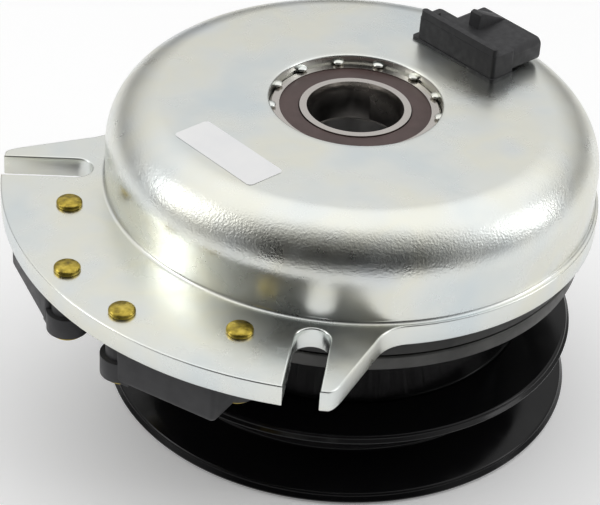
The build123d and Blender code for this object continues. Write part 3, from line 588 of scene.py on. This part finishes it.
# ---------------------------------------------------------------- poles, hub and carrier
# The field's inner pole, the rotor's hub and the pulley's bearing carrier. All three are turned
# from mild steel bar and left bare, with fine tool lines round the shaft.

turned_steel = ground_steel("turned_steel", (0.42, 0.42, 0.42), 0.34)
dressed("inner_pole", "field", turned_steel)
dressed("rotor_hub", "rotor", turned_steel, 0.15)
dressed("bearing_carrier", "pulley", turned_steel, 0.2)

# ---------------------------------------------------------------- coil
# Enamelled copper wire wound on a nylon bobbin, with two leads up to the connector's blades.
# It is potted into the cup with black epoxy.

enamel = new_finish("enamelled_copper", (0.5, 0.2, 0.08), 0.3, 1.0)
bumps(enamel, pattern(enamel, 900, 2, (0.1, 0.1, 1)), 0.1, 0.5)
epoxy = new_finish("black_epoxy", (0.02, 0.02, 0.022), 0.3)
feed(epoxy, spread(epoxy, pattern(epoxy, 90, 3), 0.3, 0.7, 0.18, 0.4), "Roughness")
bumps(epoxy, pattern(epoxy, 160, 2), 0.15, 0.4)
dressed("coil_winding", "field", enamel)
dressed("coil_leads", "field", enamel)
dressed("coil_bobbin", "field", nylon)
dressed("coil_potting", "field", epoxy)

# ---------------------------------------------------------------- rotor and armature
# Two slotted steel plates that meet face to face, dark with oxide over the turned steel. The
# rotor has a ring of pressed friction material let into its face.

oxide = new_finish("dark_oxide", (0.03, 0.03, 0.03), 0.45, 0.5)
oxide_greys = [(0.3, (0.018, 0.018, 0.018)), (0.7, (0.034, 0.034, 0.032))]
feed(oxide, tint(oxide, pattern(oxide, 70, 5), oxide_greys), "Base Color")
feed(oxide, spread(oxide, pattern(oxide, 240, 4), 0.3, 0.7, 0.36, 0.56), "Roughness")
bumps(oxide, pattern(oxide, 420, 4), 0.04, 0.4)
worn = new_finish("worn_steel", (0.06, 0.06, 0.058), 0.42, 0.6)
worn_greys = [(0.3, (0.04, 0.04, 0.039)), (0.7, (0.085, 0.084, 0.08))]
feed(worn, tint(worn, pattern(worn, 60, 5), worn_greys), "Base Color")
feed(worn, spread(worn, pattern(worn, 300, 4), 0.3, 0.7, 0.34, 0.54), "Roughness")
bumps(worn, pattern(worn, 500, 4), 0.04, 0.4)
friction = new_finish("pressed_friction", (0.09, 0.08, 0.075), 0.85)
bumps(friction, pattern(friction, 1200, 4), 0.08, 0.6)
dressed("rotor_plate", "rotor", oxide, 0.3)
dressed("armature_plate", "armature", worn, 0.3)
dressed("friction_lining", "rotor", friction)

# ---------------------------------------------------------------- rings, rivets and leaf springs
# Retaining rings and leaf springs stamped from blued spring steel. Each leaf is riveted to the
# pulley at one end and to the armature at the other, and bends as the armature is pulled up.

blued = new_finish("blued_spring", (0.12, 0.13, 0.17), 0.3, 1.0)
feed(blued, spread(blued, pattern(blued, 160, 4), 0.3, 0.7, 0.24, 0.42), "Roughness")
dressed("hub_snap_ring", "rotor", blued)
dressed("carrier_retaining_ring", "pulley", blued)
dressed("spring_rivets", "pulley", pressed)
dressed("armature_rivets", "armature", pressed)

RIVET_CIRCLE = 44 * MM
SPRING_STARTS, SPRING_SWEEP = (20, 140, 260), 48


for number, start in enumerate(SPRING_STARTS, 1):
    leaf = dressed(f"leaf_spring_{number}", None, blued)
    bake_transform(leaf)

# ---------------------------------------------------------------- pulley
# Two deep-drawn steel stampings welded to a web and dipped in gloss black enamel. The upper one
# is a drum with the belt's upper flange, and the lower one is the root and the lower flange.

enamel_black = new_finish("black_enamel", (0.005, 0.005, 0.0055), 0.16)
fix(enamel_black, "Specular IOR Level", 0.2)
feed(enamel_black, spread(enamel_black, pattern(enamel_black, 90, 4), 0.3, 0.7, 0.13, 0.24), "Roughness")
bumps(enamel_black, pattern(enamel_black, 260, 2), 0.03, 0.25)


def rounded(corners, steps=12):
    """A turned section with its corners rounded: (radius, height, corner size) in millimetres."""
    section = []
    for i, (r, z, size) in enumerate(corners):
        here = Vector((r, z))
        before = (Vector(corners[i - 1][:2]) - here).normalized()
        after = (Vector(corners[(i + 1) % len(corners)][:2]) - here).normalized()
        if not size:
            section.append((r, z))
            continue
        half = before.angle(after) / 2
        centre = here + (before + after).normalized() * size / sin(half)
        start, end = here + before * size / tan(half), here + after * size / tan(half)
        for k in range(steps + 1):
            spoke = (start - centre).slerp(end - centre, k / steps)
            section.append(tuple(centre + spoke))
    return section


drum_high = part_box("pulley_drum")[1]
SLOPE = tan(radians(17))
PRESSED = 3.5
SLANT = PRESSED / cos(radians(17))
DRUM_R, DRUM_TOP, DRUM_EYE_R, ROOT_R = drum_high.x / MM, drum_high.z / MM, 33.0, 58.5
UPPER_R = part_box("pulley_upper_flange")[1].x / MM
LOWER_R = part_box("pulley_lower_flange")[1].x / MM
UPPER_RIM_TOP, LOWER_RIM_TOP = -29.0, -51.6
WINDOW_R, WINDOW_START = 7.0, SPRING_STARTS[0] + SPRING_SWEEP


def upper_face(radius):
    """Height of the upper flange's top face."""
    return UPPER_RIM_TOP - (UPPER_R - radius) * SLOPE


def lower_face(radius):
    """Height of the lower flange's top face."""
    return LOWER_RIM_TOP + (LOWER_R - radius) * SLOPE


drum_in = DRUM_R - PRESSED
upper = turned("upper_stamping", rounded([
    (DRUM_EYE_R, DRUM_TOP - PRESSED, 0), (drum_in, DRUM_TOP - PRESSED, 1.0),
    (drum_in, upper_face(drum_in) - SLANT, 8.5), (UPPER_R, UPPER_RIM_TOP - SLANT, 0.9),
    (UPPER_R, UPPER_RIM_TOP, 1.7), (DRUM_R, upper_face(DRUM_R), 5.0), (DRUM_R, DRUM_TOP, 4.5),
    (DRUM_EYE_R, DRUM_TOP, 0)]))
# clearance windows in the drum's end for the armature's three rivets
bore = bmesh.new()
bmesh.ops.create_cone(bore, cap_ends=True, segments=48, radius1=WINDOW_R * MM, radius2=WINDOW_R * MM,
                      depth=(PRESSED + 1.5) * MM)
bore_mesh = bpy.data.meshes.new("window")
bore.to_mesh(bore_mesh)
bore.free()
windows = ring_of("windows", 3, radians(WINDOW_START), radians(120), RIVET_CIRCLE,
                  drum_high.z - PRESSED / 2 * MM, link(bpy.data.objects.new("window", bore_mesh)))
upper = cut_away(upper, windows, 30)
bpy.data.objects.remove(windows)
lower_root = ROOT_R - PRESSED
lower = turned("lower_stamping", rounded([
    (ROOT_R, upper_face(ROOT_R) - SLANT, 0), (lower_root, upper_face(lower_root) - SLANT, 0),
    (lower_root, lower_face(lower_root) - SLANT, 4.5), (LOWER_R, LOWER_RIM_TOP - SLANT, 0.9),
    (LOWER_R, LOWER_RIM_TOP, 1.7), (ROOT_R, lower_face(ROOT_R), 1.2)]))
for piece, hidden in ((upper, ("pulley_drum", "pulley_upper_flange")), (lower, ("pulley_lower_flange",))):
    piece.data.shade_smooth()
    piece.data.set_sharp_from_angle(angle=radians(30))
    piece.data.materials.clear()
    piece.data.materials.append(enamel_black)
    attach(piece, "pulley")
    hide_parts(*hidden)
dressed("pulley_web", "pulley", enamel_black, 0.0, 30)

# ---------------------------------------------------------------- stage, light and camera
# The clutch stands on its pulley on a plain pale table, inside a white tent, with a tall lamp at
# each side.

foot_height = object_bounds()[0].z
bpy.ops.mesh.primitive_plane_add(size=6, location=(0, 0, foot_height - 0.0005))
floor = bpy.context.object
floor.name = "pale_floor"
pale = new_finish("pale_floor", (0.96, 0.96, 0.96), 0.9)
fix(pale, "Emission Color", (1, 1, 1, 1))
fix(pale, "Emission Strength", 0.16)
floor.data.materials.append(pale)


def softbox(name, place, aim, width, height, power):
    """A rectangular studio light."""
    data = bpy.data.lights.new(name, "AREA")
    data.shape, data.size, data.size_y, data.energy = "RECTANGLE", width, height, power
    lamp = link(bpy.data.objects.new(name, data))
    lamp.location = place
    lamp.rotation_euler = (Vector(aim) - Vector(place)).to_track_quat("-Z", "Y").to_euler()


softbox("left", (-0.75, 0.55, 0.5), (0, 0, 0.02), 0.3, 0.6, 1.6)
softbox("right", (0.75, -0.75, 0.45), (0, 0, 0.0), 0.3, 0.6, 1.6)
sun_data = bpy.data.lights.new("tent_roof", "SUN")
sun_data.energy, sun_data.angle = 0.35, radians(90)
sun = link(bpy.data.objects.new("tent_roof", sun_data))
sun.rotation_euler = Vector((0.12, -0.05, 1.0)).to_track_quat("Z", "Y").to_euler()

# The camera looks down from the lug's side through a long lens.
AZIMUTH, ELEVATION, DISTANCE = radians(-135), radians(30.663), 0.6482
YAW, PITCH, ROLL = radians(-1.160), radians(-4.190), radians(4.537)
target = Vector((0, 0, SHELL_TOP * MM))
back = Vector((cos(AZIMUTH) * cos(ELEVATION), sin(AZIMUTH) * cos(ELEVATION), sin(ELEVATION)))
right = Vector((0, 0, 1)).cross(back).normalized()
up = back.cross(right)
ahead = -back * cos(YAW) + right * sin(YAW)
right = right * cos(YAW) + back * sin(YAW)
ahead, up = ahead * cos(PITCH) + up * sin(PITCH), up * cos(PITCH) - ahead * sin(PITCH)
right, up = right * cos(ROLL) + up * sin(ROLL), up * cos(ROLL) - right * sin(ROLL)
camera_data = bpy.data.cameras.new("camera")
camera_data.sensor_width = 36
camera_data.lens = 129.2
camera_data.clip_start = 0.01
camera = link(bpy.data.objects.new("camera", camera_data))
camera.matrix_world = Matrix.Translation(target + back * DISTANCE) @ Matrix(
    (right, up, -ahead)).transposed().to_4x4()
bpy.context.scene.camera = camera

# The tent is dimmer towards its foot, and dark on the camera's side where the room shows.
world = bpy.data.worlds.new("tent")
world.use_nodes = True
bpy.context.scene.world = world
nodes, links = world.node_tree.nodes, world.node_tree.links
direction = nodes.new("ShaderNodeTexCoord")
facing = nodes.new("ShaderNodeVectorMath")
facing.operation = "DOT_PRODUCT"
facing.inputs[1].default_value = back
links.new(direction.outputs["Generated"], facing.inputs[0])
height = nodes.new("ShaderNodeSeparateXYZ")
links.new(direction.outputs["Generated"], height.inputs[0])


def fade(value, start, end, low, high):
    """A smooth change of brightness between two places."""
    node = nodes.new("ShaderNodeMapRange")
    node.interpolation_type = "SMOOTHSTEP"
    for name, number in (("From Min", start), ("From Max", end), ("To Min", low), ("To Max", high)):
        node.inputs[name].default_value = number
    links.new(value, node.inputs["Value"])
    return node.outputs["Result"]


tent = nodes.new("ShaderNodeMath")
tent.operation = "MULTIPLY"
links.new(fade(facing.outputs["Value"], 0.5, 0.85, 1.0, 0.02), tent.inputs[0])
links.new(fade(height.outputs["Z"], 0.0, 0.7, 0.22, 1.0), tent.inputs[1])
seen = nodes.new("ShaderNodeLightPath")
brightness = nodes.new("ShaderNodeMix")
brightness.inputs["B"].default_value = 1.0
links.new(seen.outputs["Is Camera Ray"], brightness.inputs["Factor"])
links.new(tent.outputs[0], brightness.inputs["A"])
background = nodes["Background"]
background.inputs["Color"].default_value = (1, 1, 1, 1)
links.new(brightness.outputs["Result"], background.inputs["Strength"])
bpy.context.scene.view_settings.view_transform = "Standard"
